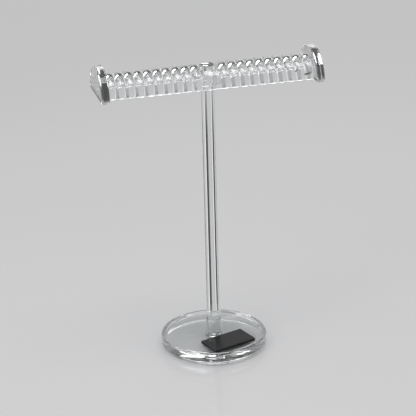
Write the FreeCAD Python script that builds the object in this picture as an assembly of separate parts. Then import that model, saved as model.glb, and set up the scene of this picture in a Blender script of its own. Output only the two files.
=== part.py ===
import FreeCAD, Part
import math
import os

os.makedirs("parts", exist_ok=True)

# Bracelet display stand of clear acrylic.
# Millimetres, origin at the centre of the underside, +Z up, +X along the display bar.

# Base
base_radius = 50.0
base_height = 12.5
base_foot_round = 5.0
base_top_round = 2.5
rim_wall = 4.4
rim_inner_round = 0.6
recess_depth = 3.5
recess_corner_round = 1.2
pocket_depth = 3.0

# Post
post_radius = 6.0
post_length = 270.0
post_end_chamfer = 0.5
post_glue_gap = 0.05
post_end_gap = 0.2

# Collar round the foot of the post
collar_wall = 0.95
collar_height = 17.5
collar_lip_round = 0.4
collar_foot_height = 3.6
collar_foot_step = 0.7

# Display bar
ripples_each_side = 10
ripple_pitch = 8.64
ripple_crest_radius = 19.2
ripple_depth = 1.5
middle_bead_length = 17.28
middle_bead_radius = 19.7
bar_inner_radius = 15.4
socket_radius = 8.5
socket_depth = 16.5
socket_mouth_chamfer = 0.6

# End caps
cap_radius = 28.6
cap_centre_drop = 2.0
cap_thickness = 7.4
cap_edge_round = 1.3

# Name plate without a name, in the room between the collar and the rim
plate_length = 45.0
plate_thickness = 2.5
plate_corner_radius = 0.8
plate_turn = 19.0
plate_shift = 1.8
plate_collar_gap = 1.55
plate_rim_gap = 3.2

# Sizes that follow from the ones above
base_floor = base_height - recess_depth
recess_radius = base_radius - rim_wall
bore_radius = post_radius + post_glue_gap
post_bottom = base_floor - pocket_depth
post_top = post_bottom + post_length
bar_bottom_height = post_top + post_end_gap - socket_depth
bar_length = 2 * ripples_each_side * ripple_pitch + middle_bead_length
ripple_root_radius = ripple_crest_radius - ripple_depth
socket_root_radius = (bar_inner_radius + ripple_root_radius) / 2.0
collar_radius = bore_radius + collar_wall
collar_foot_radius = collar_radius + collar_foot_step
cap_half_width = math.sqrt(cap_radius ** 2 - cap_centre_drop ** 2)
cap_height = cap_radius - cap_centre_drop
plate_back = collar_foot_radius + plate_collar_gap
plate_corner_reach = recess_radius - plate_rim_gap
plate_front = math.sqrt(plate_corner_reach ** 2 - (plate_length / 2.0 + plate_shift) ** 2)


def vec(x, y, z):
    return FreeCAD.Vector(x, y, z)


def arc_on_circle(center, radius, start, end):
    """Arc in the XZ plane between two angles in degrees, measured from +X."""
    marks = []
    for angle in (start, (start + end) / 2.0, end):
        a = math.radians(angle)
        marks.append(vec(center[0] + radius * math.cos(a), 0, center[1] + radius * math.sin(a)))
    return Part.Arc(marks[0], marks[1], marks[2]).toShape()


def line(a, b):
    """Straight edge in the XZ plane between two (x, z) points."""
    return Part.makeLine(vec(a[0], 0, a[1]), vec(b[0], 0, b[1]))


def turned(edges):
    """Solid made by turning a closed XZ profile about the Z axis."""
    face = Part.Face(Part.Wire(Part.__sortEdges__(edges)))
    return face.revolve(vec(0, 0, 0), vec(0, 0, 1), 360.0)


def export(shape, node):
    """Write one node as its own STEP file."""
    shape = shape.removeSplitter()
    if not shape.isValid():
        raise ValueError(node + " is not a valid solid")
    shape.exportStep("parts/" + node + ".step")


def base_profile():
    """Half section of the dish: rounded outer wall, raised rim, sunk floor, glue pocket."""
    r_out = base_radius
    r_in = recess_radius
    z_top = base_height
    z_floor = base_floor
    foot = base_foot_round
    top = base_top_round
    lip = rim_inner_round
    corner = recess_corner_round
    pocket_z = post_bottom
    edges = []
    edges.append(line((0, 0), (r_out - foot, 0)))
    edges.append(arc_on_circle((r_out - foot, foot), foot, -90, 0))
    edges.append(line((r_out, foot), (r_out, z_top - top)))
    edges.append(arc_on_circle((r_out - top, z_top - top), top, 0, 90))
    edges.append(line((r_out - top, z_top), (r_in + lip, z_top)))
    edges.append(arc_on_circle((r_in + lip, z_top - lip), lip, 90, 180))
    edges.append(line((r_in, z_top - lip), (r_in, z_floor + corner)))
    edges.append(arc_on_circle((r_in - corner, z_floor + corner), corner, 0, -90))
    edges.append(line((r_in - corner, z_floor), (bore_radius, z_floor)))
    edges.append(line((bore_radius, z_floor), (bore_radius, pocket_z)))
    edges.append(line((bore_radius, pocket_z), (0, pocket_z)))
    edges.append(line((0, pocket_z), (0, 0)))
    return edges


def make_base():
    """Thick round dish turned from its half section."""
    return turned(base_profile())


def make_post():
    """Solid round rod from the pocket in the base to the socket in the bar."""
    rod = Part.makeCylinder(post_radius, post_length, vec(0, 0, post_bottom))
    ends = []
    for edge in rod.Edges:
        if edge.Closed:
            ends.append(edge)
    return rod.makeChamfer(post_end_chamfer, ends)


def make_collar():
    """Turned collar with a wider foot ring that is glued to the floor of the dish."""
    z0 = base_floor
    z1 = base_floor + collar_height
    r_body = collar_radius
    r_foot = collar_foot_radius
    lip = collar_lip_round
    step = collar_foot_step
    shoulder = z0 + collar_foot_height
    edges = []
    edges.append(line((bore_radius, z0), (r_foot, z0)))
    edges.append(line((r_foot, z0), (r_foot, shoulder - step)))
    edges.append(arc_on_circle((r_body, shoulder - step), step, 0, 90))
    edges.append(line((r_body, shoulder), (r_body, z1 - lip)))
    edges.append(arc_on_circle((r_body - lip, z1 - lip), lip, 0, 90))
    edges.append(line((r_body - lip, z1), (bore_radius, z1)))
    edges.append(line((bore_radius, z1), (bore_radius, z0)))
    return turned(edges)


def bulge(start_x, end_x, crest_radius):
    """One rounded bulge of the bar's outside, from valley to valley."""
    start = vec(start_x, ripple_root_radius, 0)
    crest = vec((start_x + end_x) / 2.0, crest_radius, 0)
    end = vec(end_x, ripple_root_radius, 0)
    return Part.Arc(start, crest, end).toShape()


def rippled_profile():
    """Closed profile of the bar's wall beside its axis: ripples, middle bead, smooth inside."""
    x0 = -bar_length / 2.0
    x1 = bar_length / 2.0
    edges = []
    for i in range(ripples_each_side):
        a = x0 + i * ripple_pitch
        edges.append(bulge(a, a + ripple_pitch, ripple_crest_radius))
    middle_start = -middle_bead_length / 2.0
    middle_end = middle_bead_length / 2.0
    edges.append(bulge(middle_start, middle_end, middle_bead_radius))
    for i in range(ripples_each_side):
        a = middle_end + i * ripple_pitch
        edges.append(bulge(a, a + ripple_pitch, ripple_crest_radius))
    edges.append(Part.makeLine(vec(x1, ripple_root_radius, 0), vec(x1, bar_inner_radius, 0)))
    edges.append(Part.makeLine(vec(x1, bar_inner_radius, 0), vec(x0, bar_inner_radius, 0)))
    edges.append(Part.makeLine(vec(x0, bar_inner_radius, 0), vec(x0, ripple_root_radius, 0)))
    return edges


def half_round(profile):
    """Half turn of a profile about the bar's axis, open side down, raised to its height."""
    face = Part.Face(Part.Wire(profile))
    shell = face.revolve(vec(0, 0, 0), vec(1, 0, 0), 180.0)
    shell.translate(vec(0, 0, bar_bottom_height))
    return shell


def make_bar():
    """Rippled half-round shell with a moulded socket for the post under its middle bead."""
    shell = half_round(rippled_profile())
    mouth = bar_bottom_height
    pillar = Part.makeCylinder(socket_radius, ripple_root_radius, vec(0, 0, mouth))
    start = vec(-2.0 * socket_radius, 0, bar_bottom_height)
    root_limit = Part.makeCylinder(socket_root_radius, 4.0 * socket_radius, start, vec(1, 0, 0))
    socket = pillar.common(root_limit)
    bar = shell.fuse(socket)
    bore = Part.makeCylinder(bore_radius, socket_depth, vec(0, 0, mouth))
    lead_in = Part.makeCone(
        bore_radius + socket_mouth_chamfer, bore_radius, socket_mouth_chamfer, vec(0, 0, mouth)
    )
    return bar.cut(bore.fuse(lead_in))


def make_cap(side):
    """Near half-disc end plate with rounded edges, flush with the underside of the bar."""
    x = side * bar_length / 2.0
    z = bar_bottom_height
    front = vec(x, -cap_half_width, z)
    top = vec(x, 0, z + cap_height)
    back = vec(x, cap_half_width, z)
    outline = Part.Wire([Part.Arc(front, top, back).toShape(), Part.makeLine(back, front)])
    plate = Part.Face(outline).extrude(vec(side * cap_thickness, 0, 0))
    rims = []
    for edge in plate.Edges:
        if edge.BoundBox.XLength < 0.001 and edge.BoundBox.ZLength > cap_height / 2.0:
            rims.append(edge)
    return plate.makeFillet(cap_edge_round, rims)


def make_plate():
    """Bare black name plate with rounded corners, lying on the floor of the dish."""
    start = vec(plate_shift - plate_length / 2.0, -plate_front, base_floor)
    plate = Part.makeBox(plate_length, plate_front - plate_back, plate_thickness, start)
    corners = []
    for edge in plate.Edges:
        if abs(edge.Length - plate_thickness) < 0.001:
            corners.append(edge)
    plate = plate.makeFillet(plate_corner_radius, corners)
    plate.rotate(vec(0, 0, 0), vec(0, 0, 1), plate_turn)
    return plate


export(make_base(), "tray_base")
export(make_post(), "post")
export(make_collar(), "post_collar")
export(make_bar(), "display_bar")
export(make_cap(-1), "left_end_cap")
export(make_cap(1), "right_end_cap")
export(make_plate(), "name_plate")
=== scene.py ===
import math

import bmesh
import bpy
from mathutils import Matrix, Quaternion, Vector


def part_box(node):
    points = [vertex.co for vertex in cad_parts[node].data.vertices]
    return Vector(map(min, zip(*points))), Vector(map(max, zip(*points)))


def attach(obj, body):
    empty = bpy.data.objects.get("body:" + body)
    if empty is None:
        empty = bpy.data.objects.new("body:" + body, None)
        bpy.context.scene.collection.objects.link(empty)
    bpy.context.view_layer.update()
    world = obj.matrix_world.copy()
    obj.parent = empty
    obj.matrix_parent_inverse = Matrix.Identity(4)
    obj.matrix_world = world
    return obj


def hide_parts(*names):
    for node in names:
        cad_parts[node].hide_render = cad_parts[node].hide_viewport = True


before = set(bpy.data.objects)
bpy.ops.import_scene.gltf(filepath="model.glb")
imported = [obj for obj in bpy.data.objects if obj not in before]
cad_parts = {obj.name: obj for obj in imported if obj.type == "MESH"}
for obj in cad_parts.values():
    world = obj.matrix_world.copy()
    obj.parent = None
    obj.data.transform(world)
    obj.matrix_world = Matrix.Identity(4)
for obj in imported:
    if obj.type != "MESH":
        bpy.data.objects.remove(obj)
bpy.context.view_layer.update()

# Tray.
# The foot of the stand is one thick round disc of clear cast acrylic. Its floor is sunk
# below a narrow rim, the lower edge is turned to a wide round and all of it is polished.
tray_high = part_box("tray_base")[1]
tray_radius = tray_high.x
tray_height = tray_high.z
tray_rim = 0.0044
tray_sunk = 0.0035
tray_floor = tray_height - tray_sunk
tray_foot_round = 0.0050
tray_top_round = 0.0025
tray_lip_round = 0.0006
tray_corner_round = 0.0012
tray_pocket = 0.0030
post_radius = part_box("post")[1].x
glue_gap = 0.00005
closeness = 0.00004


def pick(kind, test):
    """Selects the faces, edges or corners of the piece in hand that pass a test."""
    bpy.ops.mesh.select_mode(type=kind)
    bpy.ops.mesh.select_all(action="DESELECT")
    mesh = bmesh.from_edit_mesh(bpy.context.object.data)
    lists = {"FACE": mesh.faces, "EDGE": mesh.edges, "VERT": mesh.verts}
    for part in lists[kind]:
        if test(part):
            part.select_set(True)
    mesh.select_flush_mode()
    bmesh.update_edit_mesh(bpy.context.object.data)


def flat_at(height):
    """Test for a level face at one height."""
    return lambda face: abs(face.normal.z) > 0.99 and abs(face.calc_center_median().z - height) < 1e-5


def ring_at(radius, height):
    """Test for the edges of a level ring round the Z axis."""
    def test(edge):
        for corner in edge.verts:
            off = abs(math.hypot(corner.co.x, corner.co.y) - radius)
            if off > 2e-4 or abs(corner.co.z - height) > 1e-5:
                return False
        return True
    return test


def raised(distance):
    """Extrudes what is selected straight up, or down for a negative distance."""
    bpy.ops.mesh.extrude_region_move(TRANSFORM_OT_translate={"value": (0, 0, distance)})


def named(name):
    """Names the new piece and moves its place from its object into its mesh."""
    piece = bpy.context.object
    piece.name = name
    piece.data.name = name
    bpy.ops.object.transform_apply(location=True, rotation=True, scale=True)
    return piece


def smoothed(piece):
    """Soft shading on the rounds, while the flats stay flat."""
    bpy.ops.object.shade_smooth_by_angle(angle=math.radians(33))
    bpy.ops.object.modifier_add(type="WEIGHTED_NORMAL")
    piece.modifiers[-1].keep_sharp = True
    bpy.ops.object.modifier_apply(modifier=piece.modifiers[-1].name)


def clear_acrylic(name, tint, stretch, wave_scale, wave_height, scratch_height):
    """Polished acrylic: a slightly wavy skin, fine handling scratches and a few dull finger marks."""
    paint = bpy.data.materials.new(name)
    paint.use_nodes = True
    nodes, links = paint.node_tree.nodes, paint.node_tree.links
    shader = nodes["Principled BSDF"]
    shader.inputs["Base Color"].default_value = (*tint, 1)
    shader.inputs["IOR"].default_value = 1.49
    shader.inputs["Transmission Weight"].default_value = 1.0
    place = nodes.new("ShaderNodeTexCoord")
    grain = nodes.new("ShaderNodeMapping")
    grain.inputs["Scale"].default_value = stretch
    links.new(place.outputs["Object"], grain.inputs["Vector"])
    # Slow waves left in the skin by casting, drawing or moulding.
    waves = nodes.new("ShaderNodeTexNoise")
    waves.inputs["Scale"].default_value = wave_scale
    waves.inputs["Detail"].default_value = 1.5
    links.new(grain.outputs["Vector"], waves.inputs["Vector"])
    wave_bump = nodes.new("ShaderNodeBump")
    wave_bump.inputs["Strength"].default_value = 0.5
    wave_bump.inputs["Distance"].default_value = wave_height
    links.new(waves.outputs["Fac"], wave_bump.inputs["Height"])
    # Hairline scratches, thin lines where a stretched noise crosses its middle value.
    turn = nodes.new("ShaderNodeMapping")
    turn.inputs["Rotation"].default_value = (0.4, 0.7, 0.9)
    turn.inputs["Scale"].default_value = (1.0, 9.0, 5.0)
    links.new(place.outputs["Object"], turn.inputs["Vector"])
    lines = nodes.new("ShaderNodeTexNoise")
    lines.inputs["Scale"].default_value = 60
    lines.inputs["Detail"].default_value = 2
    links.new(turn.outputs["Vector"], lines.inputs["Vector"])
    thin = nodes.new("ShaderNodeValToRGB")
    thin.color_ramp.elements[0].position = 0.494
    thin.color_ramp.elements[0].color = (0, 0, 0, 1)
    thin.color_ramp.elements[1].position = 0.506
    thin.color_ramp.elements[1].color = (0, 0, 0, 1)
    thin.color_ramp.elements.new(0.5).color = (1, 1, 1, 1)
    links.new(lines.outputs["Fac"], thin.inputs["Fac"])
    scratch_bump = nodes.new("ShaderNodeBump")
    scratch_bump.invert = True
    scratch_bump.inputs["Strength"].default_value = 0.25
    scratch_bump.inputs["Distance"].default_value = scratch_height
    links.new(thin.outputs["Color"], scratch_bump.inputs["Height"])
    links.new(wave_bump.outputs["Normal"], scratch_bump.inputs["Normal"])
    links.new(scratch_bump.outputs["Normal"], shader.inputs["Normal"])
    # Finger marks: the gloss is a little duller in soft patches.
    marks = nodes.new("ShaderNodeTexNoise")
    marks.inputs["Scale"].default_value = 38
    marks.inputs["Detail"].default_value = 5
    marks.inputs["Distortion"].default_value = 0.6
    links.new(place.outputs["Object"], marks.inputs["Vector"])
    dull = nodes.new("ShaderNodeMapRange")
    dull.inputs["From Min"].default_value = 0.52
    dull.inputs["From Max"].default_value = 0.78
    dull.inputs["To Min"].default_value = 0.004
    dull.inputs["To Max"].default_value = 0.07
    links.new(marks.outputs["Fac"], dull.inputs["Value"])
    links.new(dull.outputs["Result"], shader.inputs["Roughness"])
    # Lamps shine through, and less so where the wall is seen edge-on, which draws its soft shadow.
    rays = nodes.new("ShaderNodeLightPath")
    passing = nodes.new("ShaderNodeMath")
    passing.operation = "MAXIMUM"
    links.new(rays.outputs["Is Shadow Ray"], passing.inputs[0])
    links.new(rays.outputs["Is Diffuse Ray"], passing.inputs[1])
    edge_on = nodes.new("ShaderNodeLayerWeight")
    edge_on.inputs["Blend"].default_value = 0.35
    shade = nodes.new("ShaderNodeValToRGB")
    shade.color_ramp.elements[0].color = (0.93, 0.94, 0.94, 1)
    shade.color_ramp.elements[1].color = (0.30, 0.32, 0.33, 1)
    links.new(edge_on.outputs["Facing"], shade.inputs["Fac"])
    open_way = nodes.new("ShaderNodeBsdfTransparent")
    links.new(shade.outputs["Color"], open_way.inputs["Color"])
    mix = nodes.new("ShaderNodeMixShader")
    links.new(passing.outputs["Value"], mix.inputs["Fac"])
    links.new(shader.outputs["BSDF"], mix.inputs[1])
    links.new(open_way.outputs["BSDF"], mix.inputs[2])
    links.new(mix.outputs["Shader"], nodes["Material Output"].inputs["Surface"])
    return paint


bpy.ops.object.select_all(action="DESELECT")
bpy.ops.mesh.primitive_cylinder_add(
    vertices=192, radius=tray_radius, depth=tray_height, location=(0, 0, tray_height / 2)
)
tray = named("tray")
bpy.ops.object.mode_set(mode="EDIT")
pick("FACE", flat_at(tray_height))
bpy.ops.mesh.inset(thickness=tray_rim)
raised(-tray_sunk)
bpy.ops.mesh.inset(thickness=tray_radius - tray_rim - post_radius - glue_gap)
raised(-tray_pocket)
pick("EDGE", ring_at(tray_radius, 0))
bpy.ops.mesh.bevel(offset=tray_foot_round, segments=14, affect="EDGES")
pick("EDGE", ring_at(tray_radius, tray_height))
bpy.ops.mesh.bevel(offset=tray_top_round, segments=9, affect="EDGES")
pick("EDGE", ring_at(tray_radius - tray_rim, tray_height))
bpy.ops.mesh.bevel(offset=tray_lip_round, segments=4, affect="EDGES")
pick("EDGE", ring_at(tray_radius - tray_rim, tray_floor))
bpy.ops.mesh.bevel(offset=tray_corner_round, segments=6, affect="EDGES")
bpy.ops.object.mode_set(mode="OBJECT")
smoothed(tray)
tray.data.materials.append(
    clear_acrylic("cast_acrylic", (0.985, 0.992, 0.994), (1, 1, 1), 55, 0.00012, 0.00002)
)
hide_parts("tray_base")
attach(tray, "root")

# Collar.
# A short clear sleeve with a wider foot ring, turned from tube, stands round the foot
# of the post and is glued to the floor of the tray.
collar_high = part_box("post_collar")[1]
collar_bottom = tray_floor + closeness
collar_top = collar_high.z
collar_foot = collar_high.x
collar_step = 0.0007
collar_shoulder_round = 0.9 * collar_step
collar_lip_round = 0.0004
collar_foot_height = 0.0036
collar_wall = 0.00095

bpy.ops.object.select_all(action="DESELECT")
bpy.ops.mesh.primitive_cylinder_add(
    vertices=96, radius=collar_foot, depth=collar_foot_height,
    location=(0, 0, collar_bottom + collar_foot_height / 2),
)
collar = named("collar")
shoulder = collar_bottom + collar_foot_height
bpy.ops.object.mode_set(mode="EDIT")
pick("FACE", flat_at(shoulder))
bpy.ops.mesh.inset(thickness=collar_step)
raised(collar_top - shoulder)
bpy.ops.mesh.inset(thickness=collar_wall)
raised(collar_bottom - collar_top)
pick("FACE", lambda face: flat_at(collar_bottom)(face) and len(face.verts) > 8)
bpy.ops.mesh.delete(type="ONLY_FACE")
pick("EDGE", lambda edge: edge.is_boundary)
bpy.ops.mesh.bridge_edge_loops()
pick("EDGE", ring_at(collar_foot, shoulder))
bpy.ops.mesh.bevel(offset=collar_shoulder_round, segments=5, affect="EDGES")
pick("EDGE", ring_at(collar_foot - collar_step, collar_top))
bpy.ops.mesh.bevel(offset=collar_lip_round, segments=4, affect="EDGES")
pick("FACE", lambda face: True)
bpy.ops.mesh.normals_make_consistent(inside=False)
bpy.ops.object.mode_set(mode="OBJECT")
smoothed(collar)
collar.data.materials.append(
    clear_acrylic("sleeve_acrylic", (0.985, 0.992, 0.994), (1, 1, 0.2), 160, 0.00006, 0.00002)
)
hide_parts("post_collar")
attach(collar, "root")

# Post.
# A solid drawn rod of clear acrylic. It stands in the pocket of the tray and ends in the
# socket of the bar. Drawing leaves long faint streaks down its skin, and both ends are chamfered.
post_low, post_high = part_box("post")
rod_bottom = post_low.z + closeness
rod_top = post_high.z
rod_chamfer = 0.0005

bpy.ops.object.select_all(action="DESELECT")
bpy.ops.mesh.primitive_cylinder_add(
    vertices=128, radius=post_radius, depth=rod_top - rod_bottom,
    location=(0, 0, (rod_top + rod_bottom) / 2),
)
rod = named("rod")
bpy.ops.object.mode_set(mode="EDIT")
pick("EDGE", lambda edge: ring_at(post_radius, rod_bottom)(edge) or ring_at(post_radius, rod_top)(edge))
bpy.ops.mesh.bevel(offset=rod_chamfer, segments=2, affect="EDGES")
bpy.ops.object.mode_set(mode="OBJECT")
smoothed(rod)
rod.data.materials.append(
    clear_acrylic("drawn_acrylic", (0.985, 0.992, 0.994), (1, 1, 0.012), 420, 0.00005, 0.000002)
)
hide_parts("post")
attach(rod, "root")

# Display bar.
# A moulded half-round shell of clear acrylic that lies open side down. Its outside is rippled
# on both sides of one wide middle bead, its inside is smooth, and a round socket under the
# bead takes the post.
bar_low, bar_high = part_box("display_bar")
bar_bottom = bar_low.z
ripples = 10
pitch = 0.00864
ripple_crest = 0.0192
root_line = 0.0177
bead_crest = 0.0197
bead_half = bar_high.x - ripples * pitch
shell_inside = 0.0154
socket_wall = 0.0085
socket_depth = 0.0165
socket_lead = 0.0006
limit_length = 0.04
past_face = 0.001
weld = 0.00005


def arc_of(half, rise):
    """Radius and half angle of an arc over a chord of two halves with a rise."""
    radius = (half * half + rise * rise) / (2 * rise)
    return radius, math.asin(half / radius)


# One ripple: a plane drawn together to a point, which is then turned along its arc.
ripple_arc, ripple_turn = arc_of(pitch / 2, ripple_crest - root_line)
bead_arc, bead_turn = arc_of(bead_half, bead_crest - root_line)
bpy.ops.object.select_all(action="DESELECT")
bpy.ops.mesh.primitive_plane_add(size=0.001, location=(bar_low.x, -root_line, bar_bottom))
bar = named("bar")
bpy.ops.object.mode_set(mode="EDIT")
bpy.ops.mesh.merge(type="CENTER")
bpy.ops.mesh.select_all(action="SELECT")
bpy.ops.mesh.spin(
    steps=12, angle=2 * ripple_turn, axis=(0, 0, -1),
    center=(bar_low.x + pitch / 2, ripple_arc - ripple_crest, bar_bottom),
)
bpy.ops.object.mode_set(mode="OBJECT")
bpy.ops.object.modifier_add(type="ARRAY")
bar.modifiers[-1].count = ripples
bar.modifiers[-1].use_relative_offset = False
bar.modifiers[-1].use_constant_offset = True
bar.modifiers[-1].constant_offset_displace = (pitch, 0, 0)
bar.modifiers[-1].use_merge_vertices = True
bar.modifiers[-1].merge_threshold = weld
bpy.ops.object.modifier_apply(modifier=bar.modifiers[-1].name)
# The middle bead up to its crest, and the other half as its mirror image.
bpy.ops.object.mode_set(mode="EDIT")
pick("VERT", lambda corner: corner.co.x > -bead_half - weld / 5)
bpy.ops.mesh.spin(
    steps=16, angle=bead_turn, axis=(0, 0, -1), center=(0, bead_arc - bead_crest, bar_bottom)
)
bpy.ops.object.mode_set(mode="OBJECT")
bpy.ops.object.modifier_add(type="MIRROR")
bar.modifiers[-1].merge_threshold = weld
bpy.ops.object.modifier_apply(modifier=bar.modifiers[-1].name)
# The ends run in to the smooth inside, and half a turn about the bar's axis makes the shell.
bpy.ops.object.mode_set(mode="EDIT")
pick("VERT", lambda corner: len(corner.link_edges) == 1)
bpy.ops.mesh.extrude_region_move(TRANSFORM_OT_translate={"value": (0, root_line - shell_inside, 0)})
bpy.ops.mesh.edge_face_add()
bpy.ops.mesh.select_all(action="SELECT")
bpy.ops.mesh.spin(steps=72, angle=math.pi, center=(0, 0, bar_bottom), axis=(1, 0, 0))
pick("EDGE", lambda edge: edge.is_boundary and edge.verts[0].co.y < 0)
bpy.ops.mesh.edge_face_add()
pick("EDGE", lambda edge: edge.is_boundary and edge.verts[0].co.y > 0)
bpy.ops.mesh.edge_face_add()
bpy.ops.mesh.select_all(action="SELECT")
bpy.ops.mesh.remove_doubles(threshold=0.000002)
bpy.ops.mesh.normals_make_consistent(inside=False)
bpy.ops.object.mode_set(mode="OBJECT")


def joined(piece, other, how):
    """Joins, cuts or trims a piece with another closed piece, which is then gone."""
    bpy.ops.object.select_all(action="DESELECT")
    piece.select_set(True)
    bpy.context.view_layer.objects.active = piece
    bpy.ops.object.modifier_add(type="BOOLEAN")
    piece.modifiers[-1].object = other
    piece.modifiers[-1].operation = how
    piece.modifiers[-1].solver = "EXACT"
    bpy.ops.object.modifier_apply(modifier=piece.modifiers[-1].name)
    bpy.data.objects.remove(other)


def upright(name, radius, low, high, sides):
    """A closed cylinder on the Z axis between two heights."""
    bpy.ops.object.select_all(action="DESELECT")
    bpy.ops.mesh.primitive_cylinder_add(
        vertices=sides, radius=radius, depth=high - low, location=(0, 0, (low + high) / 2)
    )
    return named(name)


socket = upright("socket", socket_wall, bar_bottom, bar_bottom + root_line, 96)
bpy.ops.object.select_all(action="DESELECT")
bpy.ops.mesh.primitive_cylinder_add(
    vertices=144, radius=(shell_inside + root_line) / 2, depth=limit_length,
    location=(0, 0, bar_bottom), rotation=(0, math.pi / 2, 0),
)
joined(socket, named("root_limit"), "INTERSECT")
joined(bar, socket, "UNION")
bore = upright("bore", post_radius + glue_gap, bar_bottom - past_face, bar_bottom + socket_depth, 128)
joined(bar, bore, "DIFFERENCE")
bpy.ops.object.mode_set(mode="EDIT")
pick("EDGE", ring_at(post_radius + glue_gap, bar_bottom))
bpy.ops.mesh.bevel(offset=socket_lead, segments=2, affect="EDGES")
bpy.ops.object.mode_set(mode="OBJECT")
smoothed(bar)
moulded = clear_acrylic("moulded_acrylic", (0.985, 0.992, 0.994), (1, 1, 1), 90, 0.00008, 0.00001)
bar.data.materials.append(moulded)
# The level lower edges are trimmed and only satin. The rest is polished by the mould.
trim_roughness = 0.5
trim_low = bar_bottom + 0.00005
trim_high = bar_bottom + 0.00025
nodes, links = moulded.node_tree.nodes, moulded.node_tree.links
place = nodes.new("ShaderNodeTexCoord")
parts = nodes.new("ShaderNodeSeparateXYZ")
links.new(place.outputs["Object"], parts.inputs["Vector"])
trim = nodes.new("ShaderNodeMapRange")
trim.inputs["From Min"].default_value = trim_low
trim.inputs["From Max"].default_value = trim_high
trim.inputs["To Min"].default_value = trim_roughness
trim.inputs["To Max"].default_value = 0.0
links.new(parts.outputs["Z"], trim.inputs["Value"])
shader = nodes["Principled BSDF"]
satin_edge = nodes.new("ShaderNodeMath")
satin_edge.operation = "MAXIMUM"
links.new(trim.outputs["Result"], satin_edge.inputs[0])
links.new(shader.inputs["Roughness"].links[0].from_socket, satin_edge.inputs[1])
links.new(satin_edge.outputs["Value"], shader.inputs["Roughness"])
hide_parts("display_bar")
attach(bar, "root")

# End caps.
# Each end of the bar is closed by a near half-disc plate of thick clear acrylic, cut with a
# flat foot flush with the bar's underside, rounded along its arch and glued on.
cap_low, cap_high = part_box("right_end_cap")
cap_bottom = cap_low.z
cap_drop = 0.0020
cap_radius = cap_high.z - cap_bottom + cap_drop
cap_thickness = cap_high.x - cap_low.x - closeness
cap_round = 0.0013


def end_cap(name, side):
    """A disc trimmed flat along its foot, with its arch rounded on both faces."""
    middle = (cap_low.x + closeness + cap_high.x) / 2
    bpy.ops.object.select_all(action="DESELECT")
    bpy.ops.mesh.primitive_cylinder_add(
        vertices=256, radius=cap_radius, depth=cap_thickness,
        location=(side * middle, 0, cap_bottom - cap_drop), rotation=(0, math.pi / 2, 0),
    )
    cap = named(name)
    bpy.ops.object.mode_set(mode="EDIT")
    bpy.ops.mesh.select_all(action="SELECT")
    bpy.ops.mesh.bisect(
        plane_co=(0, 0, cap_bottom), plane_no=(0, 0, 1), clear_inner=True, use_fill=True
    )

    def arch(edge):
        along = (edge.verts[1].co - edge.verts[0].co).normalized()
        low = min(corner.co.z for corner in edge.verts) < cap_bottom + 1e-6
        level = low and abs(along.y) > 0.9
        return abs(along.x) < 0.5 and not level

    pick("EDGE", arch)
    bpy.ops.mesh.bevel(offset=cap_round, segments=7, affect="EDGES")
    bpy.ops.object.mode_set(mode="OBJECT")
    smoothed(cap)
    return cap


cap_acrylic = clear_acrylic("cut_acrylic", (0.985, 0.992, 0.994), (1, 1, 1), 70, 0.00008, 0.00002)
for name, side, node in (("left_cap", -1, "left_end_cap"), ("right_cap", 1, "right_end_cap")):
    cap = end_cap(name, side)
    cap.data.materials.append(cap_acrylic)
    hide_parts(node)
    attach(cap, "root")

# Name plate.
# A thick black plastic plate lies on the floor of the tray in front of the post. Here it is
# bare, with softened corners and edges and the fine grain of a satin moulding.
plate_low, plate_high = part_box("name_plate")
plate_middle = (plate_low + plate_high) / 2
plate_length = 0.0450
plate_depth = 0.0255
plate_height = plate_high.z - plate_low.z
plate_turn = math.radians(19)
plate_corner_round = 0.0008
plate_edge_round = 0.00028

bpy.ops.object.select_all(action="DESELECT")
bpy.ops.mesh.primitive_cube_add(size=1, location=plate_middle, rotation=(0, 0, plate_turn))
bpy.context.object.scale = (plate_length, plate_depth, plate_height)
plate = named("plate")
bpy.ops.object.mode_set(mode="EDIT")
pick("EDGE", lambda edge: abs(edge.verts[0].co.z - edge.verts[1].co.z) > plate_height / 2)
bpy.ops.mesh.bevel(offset=plate_corner_round, segments=6, affect="EDGES")
pick("EDGE", lambda edge: all(abs(corner.co.z - plate_high.z) < 1e-6 for corner in edge.verts))
bpy.ops.mesh.bevel(offset=plate_edge_round, segments=4, affect="EDGES")
bpy.ops.object.mode_set(mode="OBJECT")
smoothed(plate)
satin = bpy.data.materials.new("satin_black")
satin.use_nodes = True
nodes, links = satin.node_tree.nodes, satin.node_tree.links
shader = nodes["Principled BSDF"]
shader.inputs["Specular IOR Level"].default_value = 0.25
place = nodes.new("ShaderNodeTexCoord")
cloud = nodes.new("ShaderNodeTexNoise")
cloud.inputs["Scale"].default_value = 90
cloud.inputs["Detail"].default_value = 6
links.new(place.outputs["Object"], cloud.inputs["Vector"])
black = nodes.new("ShaderNodeValToRGB")
black.color_ramp.elements[0].position = 0.3
black.color_ramp.elements[0].color = (0.010, 0.010, 0.011, 1)
black.color_ramp.elements[1].position = 0.75
black.color_ramp.elements[1].color = (0.020, 0.020, 0.021, 1)
links.new(cloud.outputs["Fac"], black.inputs["Fac"])
links.new(black.outputs["Color"], shader.inputs["Base Color"])
gloss = nodes.new("ShaderNodeMapRange")
gloss.inputs["To Min"].default_value = 0.24
gloss.inputs["To Max"].default_value = 0.40
links.new(cloud.outputs["Fac"], gloss.inputs["Value"])
links.new(gloss.outputs["Result"], shader.inputs["Roughness"])
grain = nodes.new("ShaderNodeTexNoise")
grain.inputs["Scale"].default_value = 1800
grain.inputs["Detail"].default_value = 3
links.new(place.outputs["Object"], grain.inputs["Vector"])
grain_bump = nodes.new("ShaderNodeBump")
grain_bump.inputs["Strength"].default_value = 0.25
grain_bump.inputs["Distance"].default_value = 0.00004
links.new(grain.outputs["Fac"], grain_bump.inputs["Height"])
links.new(grain_bump.outputs["Normal"], shader.inputs["Normal"])
plate.data.materials.append(satin)
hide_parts("name_plate")
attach(plate, "root")

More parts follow.
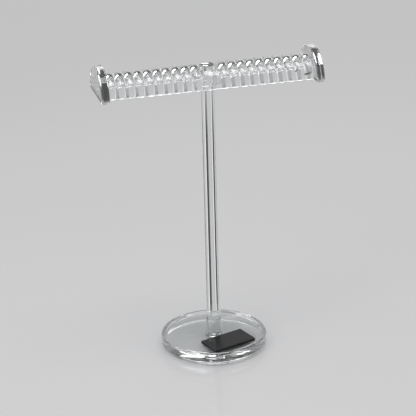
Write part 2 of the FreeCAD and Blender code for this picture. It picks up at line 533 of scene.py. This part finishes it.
# Camera.
# It looks at the stand from the photograph's side, from a little above and through a long
# lens, and leans as the photograph does.
camera_place = Vector((-0.37771, -1.49276, 0.76000))
camera_target = Vector((-0.00233, 0.00058, 0.13882))
camera_roll = math.radians(-1.49)
camera_sensor = 36
camera_lens = 154.94
camera = bpy.data.objects.new("camera", bpy.data.cameras.new("camera"))
bpy.context.scene.collection.objects.link(camera)
camera.location = camera_place
camera.rotation_mode = "QUATERNION"
look = (camera_target - camera_place).to_track_quat("-Z", "Y")
camera.rotation_quaternion = look @ Quaternion((0, 0, 1), camera_roll)
camera.data.sensor_width = camera_sensor
camera.data.lens = camera_lens
bpy.context.scene.camera = camera

# Floor.
# A plain pale table top, lit by the studio round the stand and evened out to the tone of the
# backdrop further off. Only in the glass, the table shows painted reflections of flags and cards
# that don't stand there: dark and glowing white bands round the stand, which draw the dark and
# light lines that a photographer of clear acrylic works for.
pale = (0.54, 0.54, 0.545)
# Painted reflection tones: a dark band and a glowing white band, seen only in the glass.
painted_dark_band = (0.045, 0.045, 0.045)
painted_white_band = (1.0, 1.0, 1.0)
reach = 4.0
near_strength = 1
middle_strength = 0.28
far_strength = 0.45
lit_radius = 0.5
even_radius = 1.5
floor_width = 24
floor_drop = 0.0002


def painted_bands_round(nodes, links, direction):
    """Colour by bearing: painted dark and glowing white bands, reflections of flags and cards that
    aren't there, repeating every forty-five degrees round the stand.
    """
    parts = nodes.new("ShaderNodeSeparateXYZ")
    links.new(direction, parts.inputs["Vector"])
    bearing = nodes.new("ShaderNodeMath")
    bearing.operation = "ARCTAN2"
    links.new(parts.outputs["X"], bearing.inputs[0])
    links.new(parts.outputs["Y"], bearing.inputs[1])
    eighths = nodes.new("ShaderNodeMath")
    eighths.operation = "MULTIPLY_ADD"
    eighths.inputs[1].default_value = 8 / (2 * math.pi)
    eighths.inputs[2].default_value = 8
    links.new(bearing.outputs["Value"], eighths.inputs[0])
    sector = nodes.new("ShaderNodeMath")
    sector.operation = "FRACT"
    links.new(eighths.outputs["Value"], sector.inputs[0])
    painted_band_ramp = nodes.new("ShaderNodeValToRGB")
    ramp = painted_band_ramp.color_ramp
    ramp.elements[0].color = (*pale, 1)
    ramp.elements[1].color = (*pale, 1)
    edges = ((0.44, pale), (0.47, painted_dark_band), (0.76, painted_dark_band), (0.78, painted_white_band), (0.87, painted_white_band), (0.90, pale))
    for where, tone in edges:
        ramp.elements.new(where).color = (*tone, 1)
    links.new(sector.outputs["Value"], painted_band_ramp.inputs["Fac"])
    return painted_band_ramp.outputs["Color"]


bpy.ops.object.select_all(action="DESELECT")
bpy.ops.mesh.primitive_plane_add(size=floor_width, location=(0, 0, -floor_drop))
floor = bpy.context.object
floor.name = "floor"
top = bpy.data.materials.new("table_top")
top.use_nodes = True
nodes, links = top.node_tree.nodes, top.node_tree.links
shader = nodes["Principled BSDF"]
shader.inputs["Base Color"].default_value = (*pale, 1)
shader.inputs["Roughness"].default_value = 0.16
shader.inputs["Specular IOR Level"].default_value = 0.4
place = nodes.new("ShaderNodeTexCoord")
away = nodes.new("ShaderNodeVectorMath")
away.operation = "LENGTH"
links.new(place.outputs["Object"], away.inputs[0])
far = nodes.new("ShaderNodeMapRange")
far.interpolation_type = "SMOOTHSTEP"
far.inputs["From Min"].default_value = lit_radius
far.inputs["From Max"].default_value = even_radius
links.new(away.outputs["Value"], far.inputs["Value"])
plain = nodes.new("ShaderNodeEmission")
plain.inputs["Color"].default_value = (*pale, 1)
seen = nodes.new("ShaderNodeMixShader")
links.new(far.outputs["Result"], seen.inputs["Fac"])
links.new(shader.outputs["BSDF"], seen.inputs[1])
links.new(plain.outputs["Emission"], seen.inputs[2])
# Painted reflections: the dark and white bands glow on the table only for rays off or through the
# glass.
painted_bands = nodes.new("ShaderNodeEmission")
links.new(painted_bands_round(nodes, links, place.outputs["Object"]), painted_bands.inputs["Color"])
# The painted bands are strong near the stand, faint where the wall of the bar looks down on
# them, and nearly half as strong further off.
nearness = nodes.new("ShaderNodeMath")
nearness.operation = "DIVIDE"
nearness.inputs[1].default_value = reach
links.new(away.outputs["Value"], nearness.inputs[0])
strength = nodes.new("ShaderNodeValToRGB")
ramp = strength.color_ramp
ramp.elements[0].color = (0, 0, 0, 1)
ramp.elements[1].color = (far_strength, far_strength, far_strength, 1)
steps = (
    (0.055, 0), (0.085, near_strength), (0.60, near_strength),
    (0.82, middle_strength), (1.05, middle_strength), (1.30, far_strength),
)
for where, part in steps:
    ramp.elements.new(where / reach).color = (part, part, part, 1)
links.new(nearness.outputs["Value"], strength.inputs["Fac"])
rays = nodes.new("ShaderNodeLightPath")
bent = nodes.new("ShaderNodeMath")
bent.operation = "MAXIMUM"
links.new(rays.outputs["Is Glossy Ray"], bent.inputs[0])
links.new(rays.outputs["Is Transmission Ray"], bent.inputs[1])
in_glass = nodes.new("ShaderNodeMath")
in_glass.operation = "MULTIPLY"
links.new(strength.outputs["Color"], in_glass.inputs[0])
links.new(bent.outputs["Value"], in_glass.inputs[1])
table = nodes.new("ShaderNodeMixShader")
links.new(in_glass.outputs["Value"], table.inputs["Fac"])
links.new(seen.outputs["Shader"], table.inputs[1])
links.new(painted_bands.outputs["Emission"], table.inputs[2])
links.new(table.outputs["Shader"], nodes["Material Output"].inputs["Surface"])
floor.data.materials.append(top)

# Studio.
# The backdrop is the table's own tone. The glass also sees the dark room above it and the
# white ceiling, and three soft lamps stand too high for the camera. Heights are those of the
# line of sight, from 0 when level to 1 straight up.
room_tone = 0.06
room_from = 0.10
room_to = 0.16
ceiling_tone = 1.0
ceiling_from = 0.80
ceiling_to = 0.88
world = bpy.data.worlds.new("studio")
bpy.context.scene.world = world
world.use_nodes = True
nodes, links = world.node_tree.nodes, world.node_tree.links
backdrop = nodes["Background"]
backdrop.inputs["Color"].default_value = (*pale, 1)
place = nodes.new("ShaderNodeTexCoord")
parts = nodes.new("ShaderNodeSeparateXYZ")
links.new(place.outputs["Generated"], parts.inputs["Vector"])
rings = nodes.new("ShaderNodeValToRGB")
rings.color_ramp.elements[0].position = ceiling_from
rings.color_ramp.elements[0].color = (room_tone, room_tone, room_tone, 1)
rings.color_ramp.elements[1].position = ceiling_to
rings.color_ramp.elements[1].color = (ceiling_tone, ceiling_tone, ceiling_tone, 1)
links.new(parts.outputs["Z"], rings.inputs["Fac"])
room = nodes.new("ShaderNodeBackground")
links.new(rings.outputs["Color"], room.inputs["Color"])
# The same painted reflections, dark and glowing white bands, go on round the backdrop for rays through
# the glass, up to where the dark of the room begins.
painted_bands = nodes.new("ShaderNodeBackground")
links.new(painted_bands_round(nodes, links, place.outputs["Generated"]), painted_bands.inputs["Color"])
level = nodes.new("ShaderNodeMixShader")
level.inputs["Fac"].default_value = far_strength
links.new(backdrop.outputs["Background"], level.inputs[1])
links.new(painted_bands.outputs["Background"], level.inputs[2])
upward = nodes.new("ShaderNodeMapRange")
upward.inputs["From Min"].default_value = room_from
upward.inputs["From Max"].default_value = room_to
links.new(parts.outputs["Z"], upward.inputs["Value"])
round_about = nodes.new("ShaderNodeMixShader")
links.new(upward.outputs["Result"], round_about.inputs["Fac"])
links.new(level.outputs["Shader"], round_about.inputs[1])
links.new(room.outputs["Background"], round_about.inputs[2])
rays = nodes.new("ShaderNodeLightPath")
mix = nodes.new("ShaderNodeMixShader")
links.new(rays.outputs["Is Transmission Ray"], mix.inputs["Fac"])
links.new(backdrop.outputs["Background"], mix.inputs[1])
links.new(round_about.outputs["Shader"], mix.inputs[2])
links.new(mix.outputs["Shader"], nodes["World Output"].inputs["Surface"])


def soft_lamp(name, place, aim, size, power, mirrored):
    """A rectangular soft lamp that the camera doesn't see, nor, if not mirrored, the table's gloss."""
    data = bpy.data.lights.new(name, "AREA")
    data.shape = "RECTANGLE"
    data.size, data.size_y = size
    data.energy = power
    lamp = bpy.data.objects.new(name, data)
    bpy.context.scene.collection.objects.link(lamp)
    lamp.location = place
    lamp.rotation_euler = (Vector(aim) - Vector(place)).to_track_quat("-Z", "Y").to_euler()
    lamp.visible_camera = False
    lamp.visible_glossy = mirrored


soft_lamp("top", (0.0, -0.35, 1.9), (0, 0, 0.25), (1.0, 0.7), 15, True)
soft_lamp("key", (-1.5, -0.9, 1.7), (0, 0, 0.12), (0.9, 1.1), 14, True)
soft_lamp("rim", (0.9, 1.7, 1.5), (0, 0, 0.15), (1.4, 0.6), 10, False)
bpy.context.scene.view_settings.view_transform = "Standard"
# Light crosses many walls of acrylic before it leaves a cap or the middle of the bar.
walls_crossed = 32
light_paths = bpy.context.scene.cycles
light_paths.max_bounces = walls_crossed
light_paths.transmission_bounces = walls_crossed
light_paths.glossy_bounces = walls_crossed
